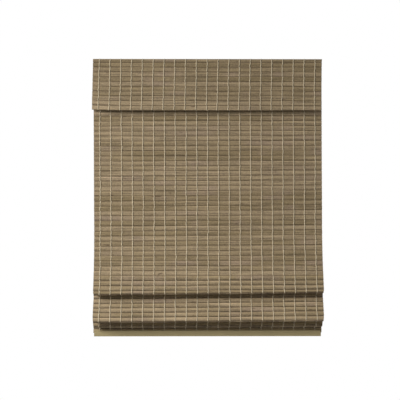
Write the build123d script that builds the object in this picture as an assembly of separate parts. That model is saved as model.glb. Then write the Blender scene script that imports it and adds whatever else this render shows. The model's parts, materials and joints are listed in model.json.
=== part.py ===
from build123d import *
import math
import os

# Bamboo roman shade with a spring lift, drawn up so that two folds hang at its foot.
# Millimetres. X runs along the window, Y points into the wall and Z is up.
# The origin lies on the wall, at the middle of the four bracket screws.

# Mat of flat bamboo slats, bound by rows of thread
mat_width = 686.0
slat_thickness = 2.4
panel_slat_pitch = 15.15
fold_slat_pitch = 14.0
seam_gap = 1.4
seam_web = 0.8
seam_clearance = 0.3
thread_count = 21
thread_left_margin = 19.0
thread_right_margin = 20.4
thread_width = 3.2
thread_thickness = 0.8
thread_least_bend = 0.1

# How the mat hangs: drops are below the top of the channel, or below the row a fold starts from
mat_top_inset = 4.0
panel_edge_drop = 690.2
panel_curve_slats = 13
panel_curve_angle = 23.0
gathered_slats = 3
panel_lip = 10.8
fold_dip = 8.0
first_row_rise = 14.5
gathered_rows = 3
upper_rows = 2
fourth_row_slats = 8
row_spacing = 32.0
row_slats = 14
ridge_link = 5.5
ridge_tilt = 10.0
fold_2_reach = 52.0
fold_2_drop = 105.5
fold_1_reach = 27.0
fold_1_drop = 91.0
skirt_length = 81.1

# Valance
valance_overhang = 0.5
valance_height = 154.9
valance_slat_pitch = 14.5
valance_rise = 1.0
valance_header = 30.0
valance_flare = 11.0

# Hook tapes
tape_height = 22.0
tape_margin = 6.0
shade_tape_thickness = 2.0
valance_tape_thickness = 4.0
valance_tape_drop = 5.0

# Headrail channel and its end caps
channel_depth = 52.0
channel_height = 36.0
channel_sheet = 1.0
channel_lip = 7.0
channel_bend = 2.5
channel_inset = 3.0
wall_gap = 3.0
cap_thickness = 2.5
cap_plug = 9.0
cap_wall = 2.0
cap_clearance = 0.2

# Angle brackets with their bolts
bracket_inset = 63.0
bracket_width = 22.0
bracket_sheet = 2.0
bracket_bend = 3.0
bracket_arm = 44.0
bracket_leg = 48.0
bracket_corner = 4.0
screw_spacing = 24.0
screw_drop = 26.0
screw_hole_radius = 2.25
bolt_radius = 2.0
bolt_clearance = 0.25
bolt_head_radius = 4.0
bolt_head_height = 2.4
bolt_setback = 30.0
nut_across_flats = 7.0
nut_height = 3.2
nut_clearance = 0.05

# Lift shaft, spools and cradles
cord_inset = 116.2
cord_line = 11.0
cord_radius = 0.7
shaft_across_flats = 5.0
shaft_overhang = 8.0
shaft_clearance = 0.1
shaft_height = 18.0
spool_radius = 9.3
spool_taper = 0.5
spool_barrel = 34.0
spool_feed = 6.0
spool_flange = 3.2
flange_thickness = 2.0
journal_radius = 4.6
journal_length = 4.0
bearing_clearance = 0.2
end_play = 0.4
cradle_base = 2.0
cradle_wall = 3.0
cradle_clearance = 0.3
cradle_shoulder = 4.0
guide_radius = 4.0
guide_bore = 2.2
guide_length = 2.5
guide_clearance = 0.2
wound_width = 20.0
wound_clearance = 0.05

# Spring motor
spring_width = 12.4
spring_strip = 0.4
output_hub = 5.5
output_coil = 1.5
output_flange = 11.0
storage_coil_share = 0.49
storage_shoulder = 1.5
drum_flange = 1.5
spring_play = 0.3
coil_clearance = 0.15
coil_margin = 1.05
flange_gap = 1.0
drum_clearance = 1.2
motor_wall = 2.5
motor_base = 2.0

# Rows of battens and cord rings
batten_height = 9.0
batten_thickness = 2.4
batten_margin = 8.0
batten_corner = 0.8
ring_radius = 4.8
ring_bore = 2.2
ring_height = 3.0
ring_neck = 5.0

# Cord stops
stop_radius = 3.6
stop_neck = 2.2
stop_height = 9.0
stop_bore = 0.9
knot_radius = 1.7
knot_clearance = 0.3
knot_rise = 3.2

# Bottom rail
rail_inset = 2.5
rail_height = 18.5
rail_thickness = 11.0
rail_corner = 2.6
rail_wall = 1.3
rail_slot_depth = 8.0
rail_slot_clearance = 0.2
rail_cap_thickness = 1.5
rail_cap_plug = 8.0
rail_cap_clearance = 0.2

# How far a cutting shape runs past what it cuts
overrun = 2.4

# Main places worked out from those sizes
channel_bottom = screw_drop
channel_top = channel_bottom + channel_height
channel_floor = channel_bottom + channel_sheet
channel_back = -wall_gap
channel_front = channel_back - channel_depth
channel_middle = Vector((channel_back + channel_front) / 2, (channel_bottom + channel_top) / 2)
channel_length = mat_width - 2 * channel_inset - 2 * cap_thickness
panel_y = channel_front - shade_tape_thickness - slat_thickness / 2
cord_y = panel_y + cord_line
cord_x = mat_width / 2 - cord_inset
bracket_x = mat_width / 2 - bracket_inset
rail_end = mat_width / 2 - rail_inset
thread_span = mat_width - thread_left_margin - thread_right_margin
thread_pitch = thread_span / (thread_count - 1)
wound_radius = spool_radius + cord_radius
shaft_y = cord_y + wound_radius
shaft_z = channel_bottom + shaft_height
motor_room = channel_back - channel_sheet - drum_clearance - shaft_y
storage_flange = (motor_room - output_flange - flange_gap) / 2
drum_spacing = output_flange + flange_gap + storage_flange
storage_y = shaft_y + drum_spacing
storage_depth = storage_flange - coil_margin - coil_clearance
storage_coil = storage_depth * storage_coil_share
storage_hub = storage_depth - storage_coil
storage_journal = storage_hub - storage_shoulder
drum_width = spring_width + 2 * spring_play
bolt_y = -bolt_setback
first_row = channel_top - panel_edge_drop + first_row_rise
rows = [Vector(panel_y, first_row - n * row_spacing) for n in range(gathered_rows)]
mat_foot = rows[-1] - Vector(0, skirt_length)
rail_top = mat_foot.Y + rail_slot_depth
curve_radius = panel_curve_slats * panel_slat_pitch / math.radians(panel_curve_angle)
panel_edge = Vector(
    panel_y - curve_radius * (1 - math.cos(math.radians(panel_curve_angle))),
    channel_top - panel_edge_drop,
)
curve_start = Vector(
    panel_y, panel_edge.Y + curve_radius * math.sin(math.radians(panel_curve_angle))
)


# Section lines, as (y, z) points


def step(point, length, angle):
    """The point that lies a length away, at an angle from the wall direction up."""
    turn = math.radians(angle)
    return point + Vector(length * math.cos(turn), length * math.sin(turn))


def straight(start, end, pitch):
    """Seams that cut a straight leg into whole slats, without its start."""
    count = max(1, round((end - start).length / pitch))
    return [start + (end - start) * (n / count) for n in range(1, count + 1)]


def panel_curve():
    """Seams down the curve by which the panel comes forward over the folds."""
    seams = []
    for n in range(1, panel_curve_slats + 1):
        turn = math.radians(panel_curve_angle) * n / panel_curve_slats
        forward = curve_radius * (1 - math.cos(turn))
        seams.append(curve_start - Vector(forward, curve_radius * math.sin(turn)))
    return seams


def lip():
    """The front edge of the panel, a narrow slat below its last whole one."""
    return step(panel_edge, panel_lip, 270.0 - panel_curve_angle)


def under(edge):
    """The end of the slat that turns the mat back under the front edge of a fold."""
    return step(edge, fold_slat_pitch, -fold_dip)


def ridge(last, row):
    """The back leg of a fold up to its row, and the short link that turns it down again."""
    link_front = step(row, ridge_link, 180.0 - ridge_tilt)
    return straight(last, link_front, fold_slat_pitch) + [row]


def parted(seam, along):
    """A seam drawn back along its slat, where two stretches of the mat part."""
    return seam + (along - seam).normalized() * (seam_clearance / 2)


def hanging_seams():
    """Seams of the part of the mat that hangs from the headrail."""
    top = Vector(panel_y, channel_top - mat_top_inset)
    seams = [top] + straight(top, curve_start, panel_slat_pitch)
    seams += panel_curve()[:-gathered_slats]
    return seams[:-1] + [parted(seams[-1], seams[-2])]


def gathered_seams(foot):
    """Seams of the part of the mat that is gathered in folds, down to its foot."""
    seams = panel_curve()[-gathered_slats - 1 :]
    seams[0] = parted(seams[0], seams[1])
    seams += [lip(), under(lip())]
    folds = ((fold_2_reach, fold_2_drop), (fold_1_reach, fold_1_drop))
    for row, (reach, drop) in zip(rows, folds):
        edge = row - Vector(reach, drop)
        seams += ridge(seams[-1], row)
        seams += straight(row, edge, fold_slat_pitch)
        seams.append(under(edge))
    seams += ridge(seams[-1], rows[-1])
    return seams + straight(rows[-1], foot, fold_slat_pitch)


def valance_seams():
    """Seams of the valance, with whole slats from its lower edge and a cut one at its top."""
    back = channel_front - shade_tape_thickness - slat_thickness - thread_thickness
    plane = back - valance_tape_thickness - slat_thickness / 2
    top = channel_top + valance_rise
    whole = int(valance_height // valance_slat_pitch)
    first = valance_height - whole * valance_slat_pitch
    seams = [Vector(plane, top)]
    for n in range(whole + 1):
        drop = first + n * valance_slat_pitch
        past = max(0, drop - valance_header) / (valance_height - valance_header)
        seams.append(Vector(plane - valance_flare * past, top - drop))
    return seams


def headings(seams):
    """Unit directions of the slats between seams."""
    return [(after - before).normalized() for before, after in zip(seams, seams[1:])]


def back_normal(heading):
    """The way that the back of a slat faces."""
    return Vector(-heading.Y, heading.X)


def mitres(seams):
    """For each seam, the direction to the back on the half angle, long enough to mitre."""
    lines = headings(seams)
    found = [back_normal(lines[0])]
    for before, after in zip(lines, lines[1:]):
        middle = (back_normal(before) + back_normal(after)).normalized()
        found.append(middle / middle.dot(back_normal(after)))
    return found + [back_normal(lines[-1])]


def insets(seams):
    """How far each slat stops short of a seam so that its corners clear the next slat."""
    lines = headings(seams)
    found = [0]
    for before, after in zip(lines, lines[1:]):
        half_turn = math.radians(before.get_angle(after)) / 2
        corner = slat_thickness / 2 * math.tan(half_turn) + seam_clearance
        found.append(max(seam_gap / 2, corner))
    return found + [0]


def mat_outline(seams):
    """Closed outline of a chain of flat slats, notched on both faces at each seam."""
    lines, short, half = headings(seams), insets(seams), slat_thickness / 2
    bisectors = mitres(seams)
    back, front = [], []
    for n, line in enumerate(lines):
        ends = (seams[n] + line * short[n], seams[n + 1] - line * short[n + 1])
        back += [end + back_normal(line) * half for end in ends]
        front += [end - back_normal(line) * half for end in ends]
        if n + 1 < len(lines):
            notch = bisectors[n + 1] * (seam_web / 2)
            back.append(seams[n + 1] + notch)
            front.append(seams[n + 1] - notch)
    return back + front[::-1]


def thread_outline(seams):
    """Closed outline of one row of thread laid on the front of the mat."""
    lines = headings(seams)
    kept = [0]
    for n in range(1, len(lines)):
        if lines[n].get_angle(lines[n - 1]) > thread_least_bend:
            kept.append(n)
    bends = [seams[n] for n in kept] + [seams[-1]]
    inner, outer = slat_thickness / 2, slat_thickness / 2 + thread_thickness
    near = [point - mitre * inner for point, mitre in zip(bends, mitres(bends))]
    far = [point - mitre * outer for point, mitre in zip(bends, mitres(bends))]
    return near + far[::-1]


# Solids


def along_x(section, start, end):
    """A face drawn as (y, z), run along X from start to end."""
    return extrude(Plane.YZ.offset(start) * section, amount=end - start)


def outline_face(points):
    """The face inside a closed outline."""
    return make_face(Polyline(*points, close=True))


def block(low, high):
    """A box between two corners."""
    size = high - low
    return Pos(low + size / 2) * Box(size.X, size.Y, size.Z)


def rod_along_x(radius, start, end, y, z):
    """A round rod along X."""
    return along_x(Pos(y, z) * Circle(radius), start, end)


def post(radius, x, y, bottom, top):
    """A round post along Z."""
    return Pos(x, y, bottom) * extrude(Circle(radius), amount=top - bottom)


def mat_wall(seams, width):
    """The slats of one mat as a single notched wall."""
    return along_x(outline_face(mat_outline(seams)), -width / 2, width / 2)


def mat_threads(seams):
    """Every row of thread on the front of one mat."""
    first = thread_left_margin - mat_width / 2 - thread_width / 2
    row = along_x(outline_face(thread_outline(seams)), first, first + thread_width)
    return Compound([Pos(n * thread_pitch, 0, 0) * row for n in range(thread_count)])


def tape(thickness, back, top):
    """A strip of hook tape across the shade."""
    half = mat_width / 2 - tape_margin
    low = Vector(-half, back - thickness, top - tape_height)
    return block(low, Vector(half, back, top))


def floor_hole(radius, x, y):
    """A round hole through the floor of the channel."""
    return post(radius, x, y, channel_bottom - overrun, channel_floor + overrun)


def channel():
    """The headrail: sheet folded to a box that is open between two lips at its top."""
    outer = RectangleRounded(channel_depth, channel_height, channel_bend)
    inner = RectangleRounded(
        channel_depth - 2 * channel_sheet,
        channel_height - 2 * channel_sheet,
        channel_bend - channel_sheet,
    )
    mouth = Pos(0, channel_height / 2) * Rectangle(
        channel_depth - 2 * channel_lip, 2 * channel_sheet + overrun
    )
    section = Pos(channel_middle) * (outer - inner - mouth)
    rail = along_x(section, -channel_length / 2, channel_length / 2)
    for side in (-1, 1):
        rail -= floor_hole(guide_radius + guide_clearance, side * cord_x, cord_y)
        rail -= floor_hole(bolt_radius + bolt_clearance, side * bracket_x, bolt_y)
    return rail


def end_cap():
    """A moulded plug with a cover plate, for the right end of the channel."""
    end = channel_length / 2
    plate = Pos(channel_middle) * RectangleRounded(channel_depth, channel_height, channel_bend)
    shrink = 2 * channel_sheet + 2 * cap_clearance
    plug_depth, plug_height = channel_depth - shrink, channel_height - shrink
    plug = RectangleRounded(plug_depth, plug_height, channel_bend - channel_sheet)
    plug -= Rectangle(plug_depth - 2 * cap_wall, plug_height - 2 * cap_wall)
    cap = along_x(plate, end, end + cap_thickness)
    return cap + along_x(Pos(channel_middle) * plug, end - cap_plug, end)


def bracket():
    """The right angle bracket: one leg on the wall, one arm under the channel."""
    low = channel_bottom - bracket_leg
    inside = channel_bottom - bracket_sheet
    section = outline_face(
        [
            (0, low),
            (0, channel_bottom),
            (-bracket_arm, channel_bottom),
            (-bracket_arm, inside),
            (-bracket_sheet, inside),
            (-bracket_sheet, low),
        ]
    )
    corners = section.vertices()
    outer = corners.sort_by_distance((0, channel_bottom))[0]
    section = fillet(outer, bracket_bend + bracket_sheet)
    inner = section.vertices().sort_by_distance((-bracket_sheet, inside))[0]
    section = fillet(inner, bracket_bend)
    part = along_x(section, bracket_x - bracket_width / 2, bracket_x + bracket_width / 2)
    foot = part.edges().filter_by(Axis.Y).group_by(Axis.Z)[0]
    tip = part.edges().filter_by(Axis.Z).group_by(Axis.Y)[0]
    part = fillet(foot + tip, bracket_corner)
    deep = bracket_sheet + overrun
    hole = Rot(90, 0, 0) * extrude(Circle(screw_hole_radius), amount=deep, both=True)
    for place in (-screw_spacing / 2, screw_spacing / 2):
        part -= Pos(bracket_x, 0, place) * hole
    return part - post(
        bolt_radius + bolt_clearance, bracket_x, bolt_y, inside - overrun, channel_bottom + overrun
    )


def bracket_bolt():
    """A bolt from below the bracket's arm, with a domed head."""
    under = channel_bottom - bracket_sheet
    head = post(bolt_head_radius, bracket_x, bolt_y, under - bolt_head_height, under)
    rim = head.edges().group_by(Axis.Z)[0]
    head = fillet(rim, bolt_head_height / 2)
    top = channel_floor + nut_height + bolt_radius
    return head + post(bolt_radius, bracket_x, bolt_y, under, top)


def bracket_nut():
    """The nut on that bolt, on the floor of the channel."""
    nut = RegularPolygon(nut_across_flats / 2, 6, major_radius=False)
    nut -= Circle(bolt_radius + nut_clearance)
    return Pos(bracket_x, bolt_y, channel_floor) * extrude(nut, amount=nut_height)


def both_sides(part):
    """A piece and its mirror image, as two separate solids."""
    return Compound([part, mirror(part, about=Plane.YZ)])


# Lift shaft, spools, cradles and cords


def barrel_start():
    """Where the barrel of the right spool starts along X."""
    return cord_x - spool_feed


def spool_ends():
    """Both ends of the right spool along X, journals included."""
    reach = flange_thickness + journal_length
    return barrel_start() - reach, barrel_start() + spool_barrel + reach


def hex_hole(start, end):
    """The hexagonal bore for the lift shaft between two places along X."""
    across = shaft_across_flats / 2 + shaft_clearance
    bore = Pos(shaft_y, shaft_z) * RegularPolygon(across, 6, major_radius=False)
    return along_x(bore, start - overrun, end + overrun)


def lift_shaft():
    """The hexagonal rod that turns both spools together."""
    half = spool_ends()[1] + shaft_overhang
    bar = RegularPolygon(shaft_across_flats / 2, 6, major_radius=False)
    return along_x(Pos(shaft_y, shaft_z) * bar, -half, half)


def spool():
    """The right cord spool: a tapered barrel between two flanges, with a journal at each end."""
    start, end = spool_ends()
    flange = spool_radius + spool_flange
    inner, outer = barrel_start(), barrel_start() + spool_barrel
    profile = [
        (start, 0),
        (start, journal_radius),
        (start + journal_length, journal_radius),
        (start + journal_length, flange),
        (inner, flange),
        (inner, spool_radius),
        (inner + wound_width + spool_feed, spool_radius),
        (outer, spool_radius - spool_taper),
        (outer, flange),
        (end - journal_length, flange),
        (end - journal_length, journal_radius),
        (end, journal_radius),
        (end, 0),
    ]
    turned = revolve(outline_face(profile), Axis.X)
    return Pos(0, shaft_y, shaft_z) * turned - hex_hole(start, end)


def bearing_slot(radius, start, end, y, z):
    """The open-topped slot that a journal drops into."""
    slot = Pos(y, z) * Circle(radius)
    tall = channel_top - z
    slot += Pos(y, z + tall / 2) * Rectangle(2 * radius, tall)
    return along_x(slot, start - overrun, end + overrun)


def tray_sides():
    """The back and front of what stands on the channel's floor, between its rounded corners."""
    margin = channel_bend + cradle_clearance
    return channel_back - margin, channel_front + margin


def cradle():
    """The right cradle: a tray with two bearing walls and a guide for the cord."""
    start, end = spool_ends()
    inner = start + journal_length - end_play
    outer = end - journal_length + end_play
    back, front = tray_sides()
    low = inner - cradle_wall
    high = outer + cradle_wall
    top = shaft_z + cradle_shoulder
    tray = block(Vector(low, front, channel_floor), Vector(high, back, channel_floor + cradle_base))
    for wall in (low, outer):
        tray += block(
            Vector(wall, front, channel_floor), Vector(wall + cradle_wall, back, top)
        )
    tray -= bearing_slot(journal_radius + bearing_clearance, low, high, shaft_y, shaft_z)
    tray += post(guide_radius, cord_x, cord_y, channel_bottom - guide_length, channel_floor + cradle_base)
    return tray - post(guide_bore, cord_x, cord_y, channel_bottom - guide_length - overrun, shaft_z)


def stop_bottom():
    """The underside of the cord stops, which hang below the lowest rings."""
    return rows[-1].Y - ring_height / 2 - stop_height


def lift_cord():
    """The right lift cord: its turns on the spool, its drop through the rings and its knot."""
    first = cord_x - 2 * cord_radius
    turns = Circle(wound_radius + cord_radius - wound_clearance)
    turns -= Circle(spool_radius + wound_clearance)
    wound = along_x(Pos(shaft_y, shaft_z) * turns, first, first + wound_width)
    foot = stop_bottom() + knot_rise
    knot = Pos(cord_x, cord_y, foot) * Sphere(knot_radius)
    return wound + post(cord_radius, cord_x, cord_y, foot, shaft_z) + knot


def cord_stop():
    """The bell that the right cord is knotted in, under the lowest ring."""
    low, top = stop_bottom(), stop_bottom() + stop_height
    knot_top = low + knot_rise + knot_radius + knot_clearance
    hollow = knot_radius + knot_clearance
    profile = [
        (hollow, low),
        (stop_radius, low),
        (stop_radius, low + knot_rise),
        (stop_neck, top),
        (stop_bore, top),
        (stop_bore, knot_top),
        (hollow, knot_top),
    ]
    turned = revolve(Plane.XZ * outline_face(profile), Axis.Z)
    return Pos(cord_x, cord_y, 0) * turned


# Spring motor


def drum(hub, flange, journal, y):
    """A drum with two flanges and a journal at each end, on its own axis."""
    half = drum_width / 2
    outer = half + drum_flange
    tip = outer + end_play + motor_wall
    part = rod_along_x(hub, -half, half, y, shaft_z)
    part += rod_along_x(journal, -tip, tip, y, shaft_z)
    for start in (-outer, half):
        part += rod_along_x(flange, start, start + drum_flange, y, shaft_z)
    return part


def output_drum():
    """The drum that the lift shaft passes through."""
    half = drum_width / 2 + drum_flange + end_play + motor_wall
    part = drum(output_hub, output_flange, journal_radius, shaft_y)
    return part - hex_hole(-half, half)


def power_spring():
    """The flat spring, wound on the storage drum and led across to the output drum."""
    store = storage_hub + coil_clearance
    store_out = store + storage_coil
    drawn = output_hub + coil_clearance
    drawn_out = drawn + output_coil
    lean = math.degrees(math.asin((store_out + drawn_out) / drum_spacing))
    middle = Vector(storage_y, shaft_z)
    across = Vector(shaft_y, shaft_z)
    leave = step(middle, store_out - spring_strip / 2, 180.0 - lean)
    arrive = step(across, drawn_out - spring_strip / 2, -lean)
    side = (arrive - leave).normalized().rotate(Axis.Z, 90) * (spring_strip / 2)
    strip = outline_face([leave + side, arrive + side, arrive - side, leave - side])
    coils = Pos(middle) * (Circle(store_out) - Circle(store))
    coils += Pos(across) * (Circle(drawn_out) - Circle(drawn))
    return along_x(coils + strip, -spring_width / 2, spring_width / 2)


def motor_frame():
    """The open frame that both drums drop into."""
    inner = drum_width / 2 + drum_flange + end_play
    outer = inner + motor_wall
    back, front = tray_sides()
    top = shaft_z + cradle_shoulder
    frame = block(
        Vector(-outer, front, channel_floor), Vector(outer, back, channel_floor + motor_base)
    )
    for start in (-outer, inner):
        frame += block(
            Vector(start, front, channel_floor), Vector(start + motor_wall, back, top)
        )
    frame -= bearing_slot(journal_radius + bearing_clearance, -outer, outer, shaft_y, shaft_z)
    return frame - bearing_slot(
        storage_journal + bearing_clearance, -outer, outer, storage_y, shaft_z
    )


# Battens and rings


def seated(seams, height):
    """A height with the furthest back that the mat reaches beside a batten there."""
    near = (batten_height + panel_slat_pitch) / 2
    backs = [point.X for point in mat_outline(seams) if abs(point.Y - height) < near]
    return height, max(backs)


def row_places():
    """The five rows from the bottom up, each with its height and the back of the mat there."""
    places = [seated(gathered_seams(mat_foot), row.Y) for row in reversed(rows)]
    seams = hanging_seams()
    for n in range(upper_rows):
        last = len(seams) - fourth_row_slats - n * row_slats - 1
        middle = (seams[last] + seams[last - 1]) / 2
        places.append(seated(seams, middle.Y))
    return places


def batten(height, seat):
    """A flat stiffener across the back of the mat."""
    half = mat_width / 2 - batten_margin
    section = RectangleRounded(batten_thickness, batten_height, batten_corner)
    return along_x(Pos(seat + batten_thickness / 2, height) * section, -half, half)


def ring(height, seat):
    """The right cord ring of a row: a flat eye on a short neck."""
    eye = Circle(ring_radius)
    neck_front = seat + batten_thickness - cord_y
    eye += Pos(neck_front / 2, 0) * Rectangle(-neck_front, ring_neck)
    eye = Rot(0, 0, 90) * eye - Circle(ring_bore)
    return Pos(cord_x, cord_y, height) * extrude(eye, amount=ring_height / 2, both=True)


# Bottom rail


def rail_outline():
    """The rail's section with a slot along its top for the mat, before it is hollowed."""
    middle = Vector(mat_foot.X, rail_top - rail_height / 2)
    outer = Pos(middle) * RectangleRounded(rail_thickness, rail_height, rail_corner)
    slot = slat_thickness + 2 * rail_slot_clearance
    return outer - Pos(mat_foot.X, rail_top) * Rectangle(slot, 2 * rail_slot_depth)


def rail_hollow(gap):
    """The hollow under the slot of the rail, drawn smaller by a gap."""
    top = rail_top - rail_slot_depth - rail_wall
    bottom = rail_top - rail_height + rail_wall
    height = top - bottom - 2 * gap
    width = rail_thickness - 2 * rail_wall - 2 * gap
    shape = RectangleRounded(width, height, rail_corner - rail_wall)
    return Pos(mat_foot.X, (top + bottom) / 2) * shape


def rail_cap():
    """The right end cap of the rail, with a plug in the hollow."""
    end = rail_end - rail_cap_thickness
    cap = along_x(rail_outline(), end, end + rail_cap_thickness)
    return cap + along_x(rail_hollow(rail_cap_clearance), end - rail_cap_plug, end)


def mats():
    """The shade's mat in its two stretches, the valance, and their threads."""
    hanging, gathered, front = hanging_seams(), gathered_seams(mat_foot), valance_seams()
    rail_mouth = Vector(mat_foot.X, rail_top + rail_slot_clearance)
    return {
        "shade_panel": mat_wall(hanging, mat_width),
        "panel_threads": mat_threads(hanging),
        "fold_stack": mat_wall(gathered, mat_width),
        "stack_threads": mat_threads(gathered_seams(rail_mouth)),
        "valance": mat_wall(front, mat_width + 2 * valance_overhang),
        "valance_threads": mat_threads(front),
    }


def headrail():
    """The headrail, its brackets and its tapes."""
    behind_valance = panel_y - slat_thickness / 2 - thread_thickness
    tape_top = channel_top - valance_tape_drop
    return {
        "headrail_channel": channel(),
        "shade_tape": tape(shade_tape_thickness, channel_front, tape_top),
        "valance_tape": tape(valance_tape_thickness, behind_valance, tape_top),
        "bracket_bolts": both_sides(bracket_bolt()),
        "bracket_nuts": both_sides(bracket_nut()),
        "lift_shaft": lift_shaft(),
        "motor_frame": motor_frame(),
        "output_drum": output_drum(),
        "storage_drum": drum(storage_hub, storage_flange, storage_journal, storage_y),
        "power_spring": power_spring(),
    }


def pairs():
    """Pieces that are there once on the right and once, mirrored, on the left."""
    pieces = {
        "end_cap": end_cap(),
        "bracket": bracket(),
        "cradle": cradle(),
        "spool": spool(),
        "lift_cord": lift_cord(),
        "cord_stop": cord_stop(),
        "rail_cap": rail_cap(),
    }
    for n, (height, seat) in enumerate(row_places(), start=1):
        pieces[f"ring_{n}"] = ring(height, seat)
    return pieces


def all_nodes():
    """Every piece of the shade by name."""
    nodes = {**mats(), **headrail()}
    for name, piece in pairs().items():
        nodes[f"right_{name}"] = piece
        nodes[f"left_{name}"] = mirror(piece, about=Plane.YZ)
    for n, (height, seat) in enumerate(row_places(), start=1):
        nodes[f"batten_{n}"] = batten(height, seat)
    rail_half = rail_end - rail_cap_thickness
    nodes["bottom_rail"] = along_x(rail_outline() - rail_hollow(0), -rail_half, rail_half)
    return nodes


os.makedirs("parts", exist_ok=True)
for name, piece in all_nodes().items():
    export_step(piece, f"parts/{name}.step")
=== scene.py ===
"""The looks of a woven bamboo roman shade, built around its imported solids.

Sizes are in metres and angles in degrees, unless a name says otherwise. X runs along the window, Y points
into the wall and Z is up, as in the solids.
"""

import json
import logging
import math
import random
from abc import ABC, abstractmethod
from dataclasses import dataclass, field
from enum import Enum

import bpy
import numpy as np
from mathutils import Matrix, Vector

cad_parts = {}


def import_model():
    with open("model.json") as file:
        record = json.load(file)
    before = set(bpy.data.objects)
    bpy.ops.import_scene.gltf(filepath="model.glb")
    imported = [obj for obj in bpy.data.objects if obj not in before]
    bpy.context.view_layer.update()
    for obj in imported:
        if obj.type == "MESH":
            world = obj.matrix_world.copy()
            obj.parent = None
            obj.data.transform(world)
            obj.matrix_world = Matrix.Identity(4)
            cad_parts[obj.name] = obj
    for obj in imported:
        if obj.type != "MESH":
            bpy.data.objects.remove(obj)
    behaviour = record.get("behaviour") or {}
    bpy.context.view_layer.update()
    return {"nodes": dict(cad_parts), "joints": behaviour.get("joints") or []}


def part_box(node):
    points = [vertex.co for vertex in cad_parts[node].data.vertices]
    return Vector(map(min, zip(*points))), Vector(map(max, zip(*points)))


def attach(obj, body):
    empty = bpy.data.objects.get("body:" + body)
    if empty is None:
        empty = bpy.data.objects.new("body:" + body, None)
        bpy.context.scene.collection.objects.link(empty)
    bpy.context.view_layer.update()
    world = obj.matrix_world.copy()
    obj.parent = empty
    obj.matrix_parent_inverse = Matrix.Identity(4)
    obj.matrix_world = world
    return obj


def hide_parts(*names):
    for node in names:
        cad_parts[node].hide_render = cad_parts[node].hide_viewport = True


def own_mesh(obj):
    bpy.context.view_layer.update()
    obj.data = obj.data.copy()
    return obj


LOG = logging.getLogger("shade")
MM = 0.001
WHITE = (1.0, 1.0, 1.0, 1.0)
MIX_FIRST, MIX_SECOND, MIX_COLOUR = 6, 7, 2  # the colour sockets of a Mix node

Colour = tuple[float, float, float, float]
Place = tuple[float, float, float]


class Body(str, Enum):
    """The bodies that pieces ride on."""

    HEADRAIL = "headrail"
    FOLDS = "gathered_folds"
    SHAFT = "shaft_and_spools"


class Side(Enum):
    """The two ends of the shade, as signs along X."""

    LEFT = -1
    RIGHT = 1

    @property
    def word(self) -> str:
        """The word that starts a node's name."""
        return self.name.lower()


def tint(red: int, green: int, blue: int) -> Colour:
    """Turn an 8-bit display colour into the linear colour that a shader takes.

    Args:
        red: Red from 0 to 255.
        green: Green from 0 to 255.
        blue: Blue from 0 to 255.

    Returns:
        The linear colour with full alpha.
    """
    shares = [channel / 255 for channel in (red, green, blue)]
    linear = [s / 12.92 if s <= 0.04045 else ((s + 0.055) / 1.055) ** 2.4 for s in shares]
    return (*linear, 1.0)


# Shaders


class Value:
    """A shader socket that takes part in Python sums."""

    def __init__(self, nodes: "Nodes", socket: bpy.types.NodeSocket) -> None:
        """Keep the socket and the nodes it belongs to."""
        self.nodes = nodes
        self.socket = socket

    def _math(self, operation: str, first: "Value | float", second: "Value | float") -> "Value":
        """Add one Math node."""
        return self.nodes.node("ShaderNodeMath", {"operation": operation}, {0: first, 1: second})

    def __add__(self, other: "Value | float") -> "Value":
        """Add."""
        return self._math("ADD", self, other)

    def __radd__(self, other: float) -> "Value":
        """Add to a number."""
        return self._math("ADD", other, self)

    def __sub__(self, other: "Value | float") -> "Value":
        """Subtract."""
        return self._math("SUBTRACT", self, other)

    def __rsub__(self, other: float) -> "Value":
        """Subtract from a number."""
        return self._math("SUBTRACT", other, self)

    def __mul__(self, other: "Value | float") -> "Value":
        """Multiply."""
        return self._math("MULTIPLY", self, other)

    def __rmul__(self, other: float) -> "Value":
        """Multiply a number."""
        return self._math("MULTIPLY", other, self)

    def __truediv__(self, other: "Value | float") -> "Value":
        """Divide."""
        return self._math("DIVIDE", self, other)

    def __rtruediv__(self, other: float) -> "Value":
        """Divide a number."""
        return self._math("DIVIDE", other, self)

    def __abs__(self) -> "Value":
        """Drop the sign."""
        return self._math("ABSOLUTE", self, 0.0)

    def sine(self) -> "Value":
        """Take the sine."""
        return self._math("SINE", self, 0.0)


class Nodes:
    """A tree of shader nodes under construction."""

    def __init__(self, tree: bpy.types.NodeTree) -> None:
        """Keep the tree."""
        self.tree = tree

    def node(
        self,
        kind: str,
        settings: dict[str, object] | None = None,
        inputs: dict[int | str, object] | None = None,
        output: int | str = 0,
    ) -> Value:
        """Add a node, set it up and join its sockets.

        Args:
            kind: The node's type.
            settings: Properties that are set first.
            inputs: Values or links by socket name or number.
            output: The socket that is wanted from it.

        Returns:
            The wanted output.
        """
        made = self.tree.nodes.new(kind)
        for key, setting in (settings or {}).items():
            setattr(made, key, setting)
        for key, value in (inputs or {}).items():
            self.feed(made.inputs[key], value)
        return Value(self, made.outputs[output])

    def feed(self, socket: bpy.types.NodeSocket, value: object) -> None:
        """Link a value to a socket, or set a constant on it.

        Args:
            socket: The socket that is fed.
            value: A value from another node, or a constant.
        """
        if isinstance(value, Value):
            self.tree.links.new(value.socket, socket)
        else:
            socket.default_value = value


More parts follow.
